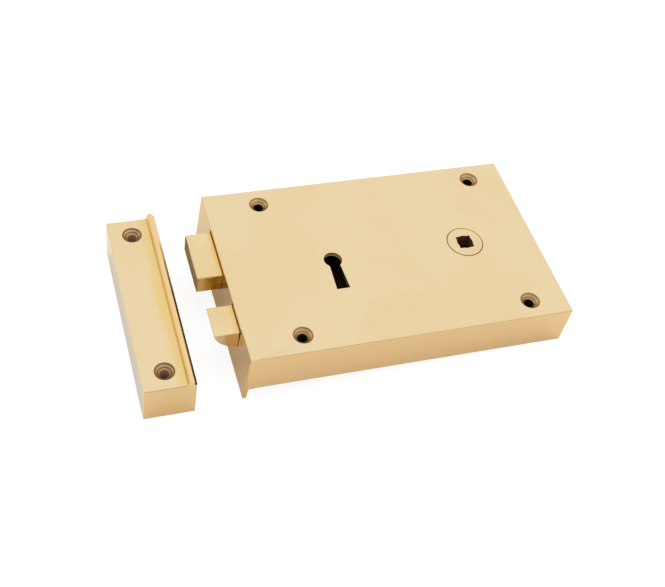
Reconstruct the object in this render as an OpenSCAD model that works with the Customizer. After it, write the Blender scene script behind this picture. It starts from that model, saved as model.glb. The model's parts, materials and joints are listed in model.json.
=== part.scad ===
// Horizontal rim lock in cast brass with its box keep
// X runs from the forend to the rear, Y up the door, Z out of the door face

/* [Case] */
// Length of the case from forend to rear
case_w = 152; // [148:0.5:160]
// Height of the case
case_h = 96.5; // [94:0.5:104]
// Depth of the case in front of the door face
case_d = 21.5; // [20.5:0.1:24]
// Thickness of the front wall
front_wall = 2.2; // [1.8:0.1:2.6]
// Thickness of the top, bottom and rear walls
side_wall = 2.5; // [2:0.1:3]
// Thickness of the forend wall
forend_wall = 3.5; // [3:0.1:4.5]
// Chamfer along the outer edges of the case and the keep
edge_chamfer = 0.3; // [0.1:0.05:0.5]

/* [Forend lip] */
// How far the lip hangs behind the door face
lip_drop = 6.5; // [4:0.5:9]
// How far the lip's tip stands out past the front edge of the forend
lip_flare = 1.5; // [0.8:0.1:2]
// Thickness of the lip
lip_t = 2.2; // [1.8:0.1:2.8]

/* [Fixing holes] */
// Diameter of the holes for wood screws
fix_dia = 4.5; // [4:0.1:5.2]
// Outer diameter of their countersinks
sink_dia = 9; // [8:0.1:9.5]
// Distance of the front pair from the forend
fix_front = 25.7; // [24.5:0.1:27]
// Distance of the rear pair from the rear edge
fix_rear = 17.8; // [16.5:0.1:19]
// Distance of both pairs from the long edges
fix_side = 9.25; // [8.8:0.05:9.7]
// Diameter of the screw bosses inside the case
boss_dia = 10.5; // [10:0.1:11]

/* [Back plate] */
// Thickness of the back plate
plate_t = 1.6; // [1.2:0.1:2]
// Gap around the back plate
plate_gap = 0.1; // [0.05:0.01:0.2]
// Thread diameter of the back plate screws
plate_screw_dia = 3; // [2.5:0.1:3.2]
// Head diameter of the back plate screws
plate_head_dia = 5.4; // [5:0.1:5.8]
// Length of the back plate screws
plate_screw_l = 8; // [6:0.5:9]
// Distance of the back plate screws from the walls
plate_screw_in = 4; // [3.8:0.1:4.5]
// Diameter of the bosses that they go into
plate_boss_dia = 6.5; // [6:0.1:7]

/* [Dead bolt] */
// Height of the dead bolt
dead_h = 26.8; // [25:0.1:28]
// Height of its lower edge above the middle of the lock
dead_rise = 1.3; // [0.8:0.1:2]
// How far it stands out of the forend when thrown, which is its travel
dead_throw = 12; // [11:0.1:12.5]
// Length of its head behind the forend edge when thrown
dead_back = 14; // [12:0.5:15]
// Thickness of both bolt heads
bolt_t = 9.8; // [9:0.1:10.5]
// Gap between the bolts and the front wall
bolt_gap = 0.3; // [0.2:0.05:0.4]
// Gap between the bolts and the sides of their windows
window_gap = 0.35; // [0.2:0.05:0.5]
// Gap between the bolts and the upper edges of their windows
window_rise = 1.4; // [0.6:0.1:1.5]
// Chamfer on the ends of the dead bolt
bolt_chamfer = 0.6; // [0.3:0.1:1]
// Thickness of its tail
tail_t = 3.2; // [2.8:0.1:3.6]
// Height of its tail
tail_h = 11; // [10:0.1:12]
// Distance of its stump ahead of the key axis
stump_ahead = 13; // [12:0.5:14]
// Diameter of its stump
stump_dia = 3; // [2.8:0.1:3.2]
// Distance of its guide post behind the key axis
guide_behind = 21; // [20:0.5:22]
// Length of its tail behind the guide post
tail_tip = 4; // [3:0.5:4.5]
// Diameter of the guide posts of both bolts
guide_dia = 4; // [3.6:0.1:4.4]
// Gap between a guide post and its slot
guide_gap = 0.15; // [0.1:0.01:0.2]

/* [Latch bolt] */
// Height of the latch bolt
latch_h = 15.5; // [14.5:0.1:16.5]
// Distance of its upper edge below the middle of the lock
latch_fall = 15.65; // [15:0.05:17]
// How far it stands out of the forend, which is its travel
latch_throw = 11.6; // [10.5:0.1:12]
// Length of its head behind the forend edge
latch_back = 14; // [13:0.5:15]
// Radius of the bevel on its back
bevel_r = 12.7; // [12.2:0.1:14]
// Thickness of the latch tail
latch_tail_t = 3; // [2.6:0.1:3.4]
// Height of the latch tail's bar
latch_bar_h = 8; // [7.5:0.1:8.5]
// Distance of the bar from the latch bolt's lower edge
bar_inset = 1.9; // [1.5:0.1:2.5]
// Diameter of the latch tail's rivets
rivet_dia = 3; // [2.5:0.1:3.4]
// Distance of its guide post behind the key axis
latch_post_behind = 9; // [8:0.5:10]
// Diameter of the guide post's head
post_head_dia = 7; // [6.5:0.1:7.5]

/* [Keyhole] */
// Distance of the key axis from the forend
key_x = 51; // [50:0.5:53]
// Diameter of the keyhole's round
key_round = 8.5; // [7.5:0.1:9]
// Width of its neck
key_neck = 4.7; // [4.2:0.1:5]
// Width of its foot
key_foot = 6.2; // [5.4:0.1:6.6]
// Distance of its foot below the key axis
key_drop = 17.1; // [16.8:0.1:17.6]
// Reach of the key bit from the key axis
bit_reach = 16.5; // [16:0.1:16.7]
// How far the key bit enters the dead bolt's talon
bit_bite = 1.5; // [1.2:0.1:1.8]
// Depth of the talon
talon_deep = 2.2; // [2:0.1:2.6]
// Width of the talon
talon_w = 6; // [5.5:0.1:6.5]

/* [Follower] */
// Distance of the spindle from the rear edge
spindle_rear = 35; // [34:0.5:37]
// Diameter of the follower's hub, flush with the front
hub_dia = 17.2; // [16.5:0.1:17.8]
// Diameter of the flange behind the front wall
flange_dia = 20.5; // [19.5:0.1:21.5]
// Diameter of its journal in the back plate
journal_dia = 13; // [12:0.1:14]
// Side of the square spindle hole
square = 7; // [6.5:0.1:7.5]
// Diameter of the drilling that the square is broached from
drill_dia = 7.7; // [7.5:0.1:8.2]
// Running gap of the hub and the journal
hub_gap = 0.07; // [0.05:0.01:0.1]
// Diameter of the arm tips
arm_tip = 5; // [4.6:0.1:5.4]
// Gap between an arm and the latch tail's shoulder
arm_gap = 0.15; // [0.12:0.01:0.2]
// Room between an arm tip and the latch tail's bar as it passes
arm_room = 0.75; // [0.5:0.05:1]
// Width of the latch tail's yoke behind the hub
yoke_w = 6.5; // [6:0.1:7]
// Height of the latch tail's shoulders
shoulder_h = 4; // [3.5:0.1:4.5]

/* [Levers] */
// Thickness of a lever
lever_t = 1.5; // [1.2:0.1:1.6]
// Gap between neighbours in the lever pack
lever_gap = 0.25; // [0.2:0.05:0.3]
// Place of the lever post between the key axis, at 0, and the spindle, at 1
lever_place = 0.682; // [0.67:0.001:0.69]
// Height of the lever post above the middle of the lock
lever_rise = 20.75; // [20:0.25:21.5]
// Diameter of the lever post
post_dia = 5; // [4.5:0.1:5.2]
// Running gap of the levers on their post
post_gap = 0.05; // [0.03:0.01:0.08]
// Width of a lever around its post
eye_dia = 11; // [10.5:0.1:11.5]
// Metal ahead of and above a lever's window
lever_web = 3; // [2.6:0.1:3.4]
// Turn of the first lever when the key lifts it
lever_lift = 4.4; // [4.2:0.1:4.6]
// Further turn of each lever behind it
lever_step = 0.4; // [0.2:0.1:0.4]
// Room around the stump in a lever's window
stump_room = 0.4; // [0.3:0.05:0.5]
// Room between the stump and the nibs as it passes them
nib_room = 0.2; // [0.15:0.01:0.25]
// Thickness of a lever spring
leaf_t = 0.5; // [0.3:0.1:0.6]
// Length of a lever spring's foot
leaf_foot_l = 6; // [5:0.5:7]
// Distance of a lever spring's tip behind the levers' nose
leaf_short = 7; // [6:0.5:9]

/* [Latch spring] */
// Outer diameter of the coil
coil_dia = 7; // [6.5:0.1:7.2]
// Diameter of its wire
wire_dia = 0.9; // [0.8:0.05:1]
// Number of curls
curls = 10; // [8:1:11]
// Distance of its front end from the forend
coil_front = 71; // [70:0.5:72]
// Length of the spring at rest
coil_l = 33; // [31:0.5:34]
// Gap between the coil and the latch tail's bar
coil_gap = 1.2; // [1:0.1:1.5]
// Diameter of the rod inside it
rod_dia = 3.6; // [3:0.1:4]
// Thickness of the lug and of the seat that it stands between
lug_t = 3; // [2.5:0.1:3.5]

/* [Keep] */
// Width of the keep
keep_w = 22.7; // [22:0.1:25]
// Thickness of the keep's front wall
keep_front = 1.1; // [0.9:0.1:1.6]
// Height of its strike lip above its front
strike_h = 3; // [2.6:0.1:4]
// Width of the strike lip at its foot
strike_w = 3.6; // [3.4:0.1:4.2]
// Radius of its top
strike_r = 1.5; // [1.2:0.1:1.6]
// Thickness of the keep's side walls
keep_wall = 2.2; // [1.8:0.1:2.6]
// Distance of the keep's screw holes from its outer side
keep_hole_in = 10.6; // [9:0.1:11.5]
// Room around a bolt in the keep
keep_room = 1; // [0.8:0.1:1.4]
// Gap between the keep and the forend's upper edge as they lie
keep_gap = 22.7; // [16:0.1:30]
// How far the keep lies below the lock as they lie
keep_shift = 1.3; // [0:0.1:4]
// How far the keep's back lies behind the door face as they lie
keep_sink = 8; // [6.5:0.1:9]

/* [Hidden] */

brass = "#d9bd80";
worn_brass = "#b9965a";
steel = "#8f9296";
spring_steel = "#5f666e";

// How far a cut runs past a face, so that it leaves no skin
over = 1;
// Running gap between flat pieces that lie on each other
level_gap = 0.1;
// Depth of the blind sockets that hold the posts in the front wall
socket = 0.8;
// Height of the middle of the lock, which the key and the spindle share
mid = case_h / 2;

// Levels from the door face outwards
front_in = case_d - front_wall;
bolt_top = front_in - bolt_gap;
bolt_low = bolt_top - bolt_t;
tail_low = bolt_top - tail_t;
function lever_low(i) = tail_low - (i + 1) * (lever_gap + lever_t);
pack_low = lever_low(2);
latch_tail_top = tail_low - lever_gap;
latch_tail_low = latch_tail_top - latch_tail_t;

// Dead bolt, whose stump and guide slot lie along the middle of its tail
dead_low = mid + dead_rise;
dead_high = dead_low + dead_h;
tail_edge = mid + bit_reach - bit_bite;
tail_mid = tail_edge + tail_h / 2;
talon_x = key_x - dead_throw / 2;
stump = [key_x - stump_ahead, tail_mid];
guide = [key_x + guide_behind, tail_mid];
tail_end = guide.x + guide_dia / 2 + tail_tip;

// Latch bolt and the bar of its tail
latch_high = mid - latch_fall;
latch_low = latch_high - latch_h;
bar_low = latch_low + bar_inset;
bar_high = bar_low + latch_bar_h;
latch_post = [key_x + latch_post_behind, (bar_low + bar_high) / 2];
// Depth of the latch bolt's slot ahead of its back end
joint_l = 10;
// Distance of a rivet from the ends of that slot
rivet_in = 3;
rivets = [for (x = [latch_back - joint_l + rivet_in, latch_back - rivet_in]) [x, latch_post.y]];
// Height of the guide post's head
post_head_t = 1.4;

// Latch spring between the lug on the tail and the seat in the case
coil_y = bar_low - coil_gap - coil_dia / 2;
coil_z = (latch_tail_low + latch_tail_top) / 2;
coil_rear = coil_front + coil_l;
// Room between the lug and the rod when the latch bolt is in
rod_room = 2;

// Follower, whose arms turn as far as draws the latch bolt in
spindle = [case_w - spindle_rear, mid];
arm_r = mid - bar_high - arm_tip / 2 - arm_room;
follower_turn = 2 * asin(latch_throw / (2 * arm_r));
// Distance from the spindle at which an arm's side meets its tip at rest
shoulder_in = arm_r * cos(follower_turn / 2) + arm_tip / 2 * sin(follower_turn / 2);
shoulder_x = spindle.x - arm_r * sin(follower_turn / 2) + arm_tip / 2 + arm_gap;
// Room between the hub and the yoke
yoke_room = 0.9;
yoke_front = spindle.x + hub_dia / 2 + yoke_room;
yoke_high = mid + shoulder_in + shoulder_h;

// Levers, whose bellies the key bit lifts
lever_reach = lever_place * (spindle.x - key_x);
lever_post_at = [key_x + lever_reach, mid + lever_rise];
function lift(i) = lever_lift + i * lever_step;
function belly(i) = mid + bit_reach - lever_reach * sin(lift(i));
// How far the stump has dropped in the lever's window after a travel s
function stump_drop(s, i) = (lever_post_at.x - stump.x - s) * sin(lift(i) * s / dead_throw);
window_front = stump.x - stump_dia / 2 - stump_room;
window_top = stump.y + stump_dia / 2 + stump_room;
lever_nose = window_front - lever_web;
lever_top = window_top + lever_web;
// Rear end of a lever spring's foot, and the length that it bends over
leaf_ahead = 12;
leaf_x = lever_post_at.x - leaf_ahead;
leaf_run = leaf_x - leaf_foot_l - lever_nose - leaf_short;

// Holes for wood screws
fix_x = [fix_front, case_w - fix_rear];
fix_y = [fix_side, case_h - fix_side];
sink_deep = (sink_dia - fix_dia) / 2;

// Back plate screws at the forend, in line with the key and at the rear
plate_screw_at = [
    [forend_wall + plate_screw_in, (dead_low + latch_high) / 2],
    [key_x, side_wall + plate_screw_in],
    [key_x, case_h - side_wall - plate_screw_in],
    [case_w - side_wall - plate_screw_in, (yoke_high + fix_y[1]) / 2]];
plate_head_deep = (plate_head_dia - plate_screw_dia) / 2;

keep_d = front_in + keep_front;

// Outline of a rectangle with cut corners
module chamfered_rect(a, b, c) {
    polygon([[c, 0], [a - c, 0], [a, c], [a, b - c], [a - c, b], [c, b], [0, b - c], [0, c]]);
}

// Box from the origin with a chamfer along all its edges
module chamfered_box(size, c) {
    intersection() {
        linear_extrude(size.z) chamfered_rect(size.x, size.y, c);
        translate([0, size.y, 0]) rotate([90, 0, 0]) linear_extrude(size.y) chamfered_rect(size.x, size.z, c);
        rotate([90, 0, 90]) linear_extrude(size.x) chamfered_rect(size.y, size.z, c);
    }
}

// Straight bar between two corners
module bar(x0, x1, y0, y1, z0, z1) {
    translate([x0, y0, z0]) cube([x1 - x0, y1 - y0, z1 - z0]);
}

// Round pin along Z
module pin(at, dia, z0, z1) {
    translate([at.x, at.y, z0]) cylinder(d = dia, h = z1 - z0, $fn = 48);
}

// Slot around a guide post, which lets a bolt travel by t towards the rear
module travel_slot(at, t, z0, z1) {
    dia = guide_dia + 2 * guide_gap;
    pin([at.x - t, at.y], dia, z0, z1);
    pin(at, dia, z0, z1);
    bar(at.x - t, at.x, at.y - dia / 2, at.y + dia / 2, z0, z1);
}

// Screw hole with its countersink in the front face at z1
module countersunk_hole(at, z0, z1) {
    pin(at, fix_dia, z0 - over, z1 + over);
    translate([at.x, at.y, z1 - sink_deep]) cylinder(d1 = fix_dia, d2 = sink_dia, h = sink_deep, $fn = 64);
    pin(at, sink_dia, z1, z1 + over);
}

// Keyhole with a neck and foot that widen downwards
module keyhole(z0, z1) {
    pin([key_x, mid], key_round, z0, z1);
    translate([key_x, mid, z0]) linear_extrude(z1 - z0)
        polygon([[-key_neck / 2, 0], [key_neck / 2, 0], [key_foot / 2, -key_drop], [-key_foot / 2, -key_drop]]);
}

// Forend in section, X across and Z up, with the lip behind the door face
module forend_section() {
    slope = lip_flare / (case_d + lip_drop);
    tip_r = lip_t / 2 - 0.15;
    tip = [tip_r - slope * (case_d + lip_drop - tip_r), tip_r - lip_drop];
    // The sides end just inside the round tip, so that they cross it
    side = tip_r - 0.03;
    polygon([[0, case_d - edge_chamfer], [edge_chamfer, case_d], [forend_wall, case_d], [forend_wall, 0],
        [lip_t - slope * case_d, 0], [tip.x + side, tip.y], [tip.x - side, tip.y]]);
    translate(tip) circle(r = tip_r, $fn = 48);
}

// Opening in the forend for a bolt between two heights, cut on above the bolt into the front wall
module bolt_window(y0, y1) {
    low = y0 - window_gap;
    high = y1 + window_gap;
    bar(-lip_flare - over, forend_wall + over, low, high, bolt_low - window_gap, front_in);
    bar(-lip_flare - over, forend_wall, low, high, front_in - over, bolt_top + window_rise);
}

// Cast body with walls on five sides, the forend lip, the bosses and the spring's seat
module case() color(brass) {
    ring_dia = hub_dia + 2 * hub_gap;
    ring_chamfer = 0.25;
    difference() {
        union() {
            difference() {
                union() {
                    chamfered_box([case_w, case_h, case_d], edge_chamfer);
                    translate([0, case_h, 0]) rotate([90, 0, 0]) linear_extrude(case_h) forend_section();
                }
                bar(forend_wall, case_w - side_wall, side_wall, case_h - side_wall, -over, front_in);
            }
            for (x = fix_x, y = fix_y) pin([x, y], boss_dia, plate_t, front_in);
            for (p = plate_screw_at) pin(p, plate_boss_dia, plate_t, front_in);
            bar(coil_rear, coil_rear + lug_t, side_wall, bar_low - over, coil_z - coil_dia / 2 - over, front_in);
        }
        for (x = fix_x, y = fix_y) countersunk_hole([x, y], 0, case_d);
        for (p = plate_screw_at) pin(p, plate_screw_dia + level_gap, -over, plate_screw_l + over);
        bolt_window(dead_low, dead_high);
        bolt_window(latch_low, latch_high);
        keyhole(front_in - over, case_d + over);
        pin(spindle, ring_dia, front_in - over, case_d + over);
        translate([spindle.x, spindle.y, case_d - ring_chamfer])
            cylinder(d1 = ring_dia, d2 = ring_dia + 2 * ring_chamfer, h = ring_chamfer, $fn = 96);
        pin(lever_post_at, post_dia, front_in - over, front_in + socket);
        pin(guide, guide_dia, front_in - over, front_in + socket);
        pin(latch_post, guide_dia, front_in - over, front_in + socket);
        translate([coil_rear - over, coil_y, coil_z]) rotate([0, 90, 0])
            cylinder(d = rod_dia, h = lug_t + 2 * over, $fn = 48);
    }
}

// Flat plate let into the back of the case
module back_plate() color(brass) {
    difference() {
        bar(forend_wall + plate_gap, case_w - side_wall - plate_gap, side_wall + plate_gap,
            case_h - side_wall - plate_gap, 0, plate_t);
        keyhole(-over, plate_t + over);
        pin(spindle, journal_dia + 2 * hub_gap, -over, plate_t + over);
        for (x = fix_x, y = fix_y) pin([x, y], fix_dia, -over, plate_t + over);
        for (p = plate_screw_at) {
            pin(p, plate_screw_dia + level_gap, -over, plate_t + over);
            translate([p.x, p.y, -over])
                cylinder(d1 = plate_head_dia + 2 * over, d2 = plate_screw_dia, h = plate_head_deep + over, $fn = 48);
        }
    }
}

// Four countersunk machine screws with slotted heads, just under the plate's face
module back_plate_screws() color(brass) {
    slot_w = 0.8;
    slot_deep = 0.7;
    for (p = plate_screw_at) difference() {
        union() {
            pin(p, plate_screw_dia, level_gap, plate_screw_l);
            translate([p.x, p.y, level_gap])
                cylinder(d1 = plate_head_dia - 2 * level_gap, d2 = plate_screw_dia,
                    h = plate_head_deep - level_gap, $fn = 48);
        }
        bar(p.x - plate_head_dia, p.x + plate_head_dia, p.y - slot_w / 2, p.y + slot_w / 2, -over, slot_deep);
    }
}

// Square-ended bolt, its tail cut for the talon, the stump and the guide post
module dead_bolt() color(brass) {
    difference() {
        union() {
            translate([-dead_throw, dead_low, bolt_low])
                chamfered_box([dead_throw + dead_back, dead_h, bolt_t], bolt_chamfer);
            bar(dead_back - over, tail_end, tail_edge, tail_edge + tail_h, tail_low, bolt_top);
        }
        bar(talon_x - talon_w / 2, talon_x + talon_w / 2, tail_edge - over, tail_edge + talon_deep,
            tail_low - over, bolt_top + over);
        travel_slot(guide, dead_throw, tail_low - over, bolt_top + over);
        pin(stump, stump_dia, tail_low - over, bolt_top + over);
    }
}

// Pin on the bolt's tail that the levers hold or let pass
module bolt_stump() color(steel) {
    stump_proud = 0.5;
    pin(stump, stump_dia, pack_low - stump_proud, bolt_top);
}

module bolt_guide_post() color(steel) {
    pin(guide, guide_dia, tail_low - level_gap, front_in + socket);
}

// Latch bolt in section, X across and Z up, with its rounded bevel behind
module latch_section() {
    nose_flat = 0.4;
    nose_chamfer = 0.55;
    bevel = [bevel_r - latch_throw - 0.5, bolt_low + bevel_r];
    difference() {
        translate([-latch_throw, bolt_low]) square([latch_throw + latch_back, bolt_t]);
        difference() {
            translate([-latch_throw - over, bolt_low - over])
                square([bevel.x + latch_throw + over, bolt_t + over - nose_flat]);
            translate(bevel) circle(r = bevel_r, $fn = 128);
        }
        polygon([[-latch_throw - over, bolt_top + over], [-latch_throw - over, bolt_top - nose_chamfer - over],
            [-latch_throw + nose_chamfer + over, bolt_top + over]]);
    }
}

// Spring bolt, slotted at the back for its tail
module latch_bolt() color(brass) {
    fit = level_gap / 2;
    difference() {
        translate([0, latch_high, 0]) rotate([90, 0, 0]) linear_extrude(latch_h) latch_section();
        bar(latch_back - joint_l, latch_back + over, bar_low - fit, bar_high + fit,
            latch_tail_low - fit, latch_tail_top + fit);
        for (p = rivets) pin(p, rivet_dia, bolt_low - over, bolt_top + over);
    }
}

// Flat tail from the latch bolt to the yoke around the follower
module latch_tail() color(steel) {
    difference() {
        union() {
            bar(latch_back - joint_l, yoke_front + yoke_w, bar_low, bar_high, latch_tail_low, latch_tail_top);
            bar(yoke_front, yoke_front + yoke_w, bar_low, yoke_high, latch_tail_low, latch_tail_top);
            for (y = [mid - shoulder_in - shoulder_h, mid + shoulder_in])
                bar(shoulder_x, yoke_front + over, y, y + shoulder_h, latch_tail_low, latch_tail_top);
            bar(coil_front - lug_t, coil_front, coil_y - coil_dia / 2, bar_low + over,
                latch_tail_low, latch_tail_top);
        }
        travel_slot(latch_post, latch_throw, latch_tail_low - over, latch_tail_top + over);
        for (p = rivets) pin(p, rivet_dia, latch_tail_low - over, latch_tail_top + over);
    }
}

module latch_rivets() color(steel) {
    for (p = rivets) pin(p, rivet_dia, bolt_low, bolt_top);
}

// Shouldered post whose head holds the latch tail up to its level
module latch_guide_post() color(steel) {
    head_top = latch_tail_low - level_gap;
    pin(latch_post, guide_dia, head_top - post_head_t, front_in + socket);
    pin(latch_post, post_head_dia, head_top - post_head_t, head_top);
}

// Rod that keeps the latch spring straight, riveted into its seat
module latch_spring_rod() color(steel) {
    rod_front = coil_front + latch_throw + rod_room;
    translate([rod_front, coil_y, coil_z]) rotate([0, 90, 0])
        cylinder(d = rod_dia, h = coil_rear + lug_t - rod_front, $fn = 48);
}

// Compression spring swept along its helix
rings = 8;
sides = 6;
coil_mid_r = (coil_dia - wire_dia) / 2;
helix_l = coil_l - wire_dia - 2 * level_gap;
coil_steps = curls * rings;
function helix(k) = [coil_front + wire_dia / 2 + level_gap + helix_l * k / coil_steps,
    coil_y + coil_mid_r * cos(360 * k / rings), coil_z + coil_mid_r * sin(360 * k / rings)];
function wire_ring(k) = let (p = helix(k), a = 360 * k / rings, out = [0, cos(a), sin(a)],
    side = cross([helix_l / curls, -2 * PI * coil_mid_r * sin(a), 2 * PI * coil_mid_r * cos(a)], out),
    s = side / norm(side))
    [for (j = [0 : sides - 1]) p + wire_dia / 2 * (cos(360 * j / sides) * out + sin(360 * j / sides) * s)];
module latch_spring() color(spring_steel) {
    points = [for (k = [0 : coil_steps]) each wire_ring(k)];
    walls = [for (k = [0 : coil_steps - 1], j = [0 : sides - 1])
        let (a = k * sides + j, b = k * sides + (j + 1) % sides)
        each [[a, b, b + sides], [a, b + sides, a + sides]]];
    start = [for (j = [1 : sides - 2]) [0, j + 1, j]];
    last = coil_steps * sides;
    end = [for (j = [1 : sides - 2]) [last, last + j, last + j + 1]];
    polyhedron(points, concat(walls, start, end));
}
echo(least_gap_between_curls = helix_l / curls - wire_dia);

// Arm of the follower in plan, from the spindle to its round tip
module follower_arm(turn) {
    rotate(turn) {
        translate([0, -arm_r]) circle(d = arm_tip, $fn = 48);
        translate([-arm_tip / 2, -arm_r]) square([arm_tip, arm_r]);
    }
}

// Hub with a broached square, a flange, a journal and two arms that draw the latch
module follower() color(brass) {
    face_chamfer = 0.3;
    hub_low = plate_t + level_gap;
    flange_low = latch_tail_top + level_gap;
    translate(spindle) difference() {
        union() {
            cylinder(d = journal_dia, h = hub_low, $fn = 96);
            translate([0, 0, hub_low]) cylinder(d = hub_dia, h = case_d - face_chamfer - hub_low, $fn = 96);
            translate([0, 0, case_d - face_chamfer])
                cylinder(d1 = hub_dia, d2 = hub_dia - 2 * face_chamfer, h = face_chamfer, $fn = 96);
            translate([0, 0, flange_low]) cylinder(d = flange_dia, h = front_in - level_gap - flange_low, $fn = 96);
            translate([0, 0, latch_tail_low + level_gap]) linear_extrude(latch_tail_t - 2 * level_gap) {
                follower_arm(-follower_turn / 2);
                follower_arm(180 + follower_turn / 2);
            }
        }
        translate([-square / 2, -square / 2, -over]) cube([square, square, case_d + 2 * over]);
        translate([0, 0, -over]) cylinder(d = drill_dia, h = case_d + 2 * over, $fn = 64);
    }
}

module lever_post() color(steel) {
    pin(lever_post_at, post_dia, plate_t, front_in + socket);
}

// Collars on the lever post that hold the pack at its height
module lever_spacers() color(steel) {
    collar = 2;
    fit = level_gap / 2;
    for (z = [[plate_t, pack_low - fit], [lever_low(0) + lever_t + fit, front_in]]) difference() {
        pin(lever_post_at, post_dia + 2 * collar, z[0], z[1]);
        pin(lever_post_at, post_dia, z[0] - over, z[1] + over);
    }
}

// Window in a lever, with a nib above and below that stop the stump half way
module lever_window(i) {
    r = stump_dia / 2;
    nib = [0.35 * dead_throw, 0.65 * dead_throw];
    x = [window_front, stump.x + nib[0], stump.x + nib[1], stump.x + dead_throw + r + stump_room];
    low = stump.y - stump_drop(dead_throw, i) - r - stump_room;
    upper_nib = stump.y - stump_drop(nib[0] - r, i) + r + nib_room;
    lower_nib = stump.y - stump_drop(nib[1] + r, i) - r - nib_room;
    polygon([[x[0], low], [x[1], low], [x[1], lower_nib], [x[2], lower_nib], [x[2], low], [x[3], low],
        [x[3], window_top], [x[2], window_top], [x[2], upper_nib], [x[1], upper_nib], [x[1], window_top],
        [x[0], window_top]]);
}

// Lever with its eye, its windowed head and the belly over the key
module lever(i) color(worn_brass) {
    post = lever_post_at;
    nose_cut = 2;
    neck_l = 14;
    neck_x = post.x - neck_l;
    belly_end = key_x + 7;
    translate([0, 0, lever_low(i)]) linear_extrude(lever_t) difference() {
        union() {
            polygon([[lever_nose, belly(i) + nose_cut], [lever_nose + nose_cut, belly(i)], [belly_end, belly(i)],
                [neck_x, post.y - eye_dia / 2 + 1], [post.x, post.y - eye_dia / 2], [post.x, post.y + eye_dia / 2],
                [leaf_x, lever_top], [lever_nose, lever_top]]);
            translate(post) circle(d = eye_dia, $fn = 64);
        }
        lever_window(i);
        translate(post) circle(d = post_dia + 2 * post_gap, $fn = 64);
    }
}

// Leaf that stands on the lever, bears on the case's top wall and pushes the lever down
module lever_spring(i) color(spring_steel) {
    rise = case_h - side_wall - level_gap - lever_top;
    bend_r = (leaf_run * leaf_run + rise * rise) / (2 * rise);
    side_gap = 0.15;
    translate([leaf_x - leaf_foot_l, lever_top, lever_low(i) + side_gap]) linear_extrude(lever_t - 2 * side_gap) {
        square([leaf_foot_l, leaf_t]);
        intersection() {
            translate([0, bend_r]) difference() {
                circle(r = bend_r, $fn = 180);
                circle(r = bend_r - leaf_t, $fn = 180);
            }
            translate([-leaf_run, 0]) square([leaf_run, rise]);
        }
    }
}

module lever_1() lever(0);
module lever_2() lever(1);
module lever_3() lever(2);
module lever_spring_1() lever_spring(0);
module lever_spring_2() lever_spring(1);
module lever_spring_3() lever_spring(2);

// Strike lip in section, X across and Z up, upright over its cove and sloping towards the bolts
module strike_section() {
    cove = 0.9;
    foot = keep_w - strike_w;
    slope_foot = 1;
    top = [foot + strike_r, keep_d + strike_h - strike_r];
    // The sides end just inside the round top, so that they cross it
    side = strike_r - 0.03;
    translate(top) circle(r = strike_r, $fn = 64);
    polygon([[foot, keep_d - edge_chamfer], [keep_w, keep_d - edge_chamfer], [keep_w, keep_d + slope_foot],
        [top.x + side, top.y], [top.x - side, top.y], [foot, keep_d + cove]]);
    difference() {
        translate([foot - cove, keep_d]) square(cove);
        translate([foot - cove, keep_d + cove]) circle(r = cove, $fn = 48);
    }
}

// Box that takes both bolts, open behind and towards the lock
module keep() color(brass) {
    block = fix_side + boss_dia / 2;
    translate([-keep_gap - keep_w, -keep_shift, -keep_sink]) difference() {
        union() {
            chamfered_box([keep_w, case_h, keep_d], edge_chamfer);
            translate([0, case_h, 0]) rotate([90, 0, 0]) linear_extrude(case_h) strike_section();
        }
        bar(keep_wall, keep_w - keep_wall, block, case_h - block, -over, front_in);
        for (y = [[dead_low, dead_high], [latch_low, latch_high]])
            bar(keep_w - keep_wall - over, keep_w + over, y[0] - keep_room, y[1] + keep_room,
                bolt_low - keep_room, front_in);
        for (y = fix_y) countersunk_hole([keep_hole_in, y], 0, keep_d);
    }
}

case();
back_plate();
back_plate_screws();
dead_bolt();
bolt_stump();
bolt_guide_post();
latch_bolt();
latch_tail();
latch_rivets();
latch_guide_post();
latch_spring();
latch_spring_rod();
follower();
lever_post();
lever_spacers();
lever_1();
lever_2();
lever_3();
lever_spring_1();
lever_spring_2();
lever_spring_3();
keep();
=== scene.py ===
import json
import math

import bmesh
import bpy
from mathutils import Matrix, Vector

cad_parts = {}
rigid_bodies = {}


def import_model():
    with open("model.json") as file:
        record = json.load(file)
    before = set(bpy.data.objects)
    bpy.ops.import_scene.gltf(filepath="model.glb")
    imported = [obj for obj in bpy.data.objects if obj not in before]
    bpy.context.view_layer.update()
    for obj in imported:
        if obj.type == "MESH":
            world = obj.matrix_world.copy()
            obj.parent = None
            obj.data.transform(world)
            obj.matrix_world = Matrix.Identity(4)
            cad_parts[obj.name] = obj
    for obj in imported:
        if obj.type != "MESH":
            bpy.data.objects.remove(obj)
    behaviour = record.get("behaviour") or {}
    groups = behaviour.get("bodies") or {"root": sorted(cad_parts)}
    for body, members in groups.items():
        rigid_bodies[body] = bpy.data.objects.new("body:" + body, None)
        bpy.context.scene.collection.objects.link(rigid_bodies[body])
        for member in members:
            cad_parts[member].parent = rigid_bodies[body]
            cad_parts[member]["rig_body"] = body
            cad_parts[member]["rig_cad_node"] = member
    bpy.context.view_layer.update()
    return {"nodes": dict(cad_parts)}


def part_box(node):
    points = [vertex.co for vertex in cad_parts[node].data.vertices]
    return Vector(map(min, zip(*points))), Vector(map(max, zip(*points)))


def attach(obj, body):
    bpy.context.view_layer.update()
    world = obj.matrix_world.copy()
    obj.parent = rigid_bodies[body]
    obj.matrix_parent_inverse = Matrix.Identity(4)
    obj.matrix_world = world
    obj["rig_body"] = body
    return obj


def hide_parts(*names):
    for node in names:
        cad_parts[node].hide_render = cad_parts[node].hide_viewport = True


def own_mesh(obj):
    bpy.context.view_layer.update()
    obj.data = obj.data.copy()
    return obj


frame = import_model()

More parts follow.
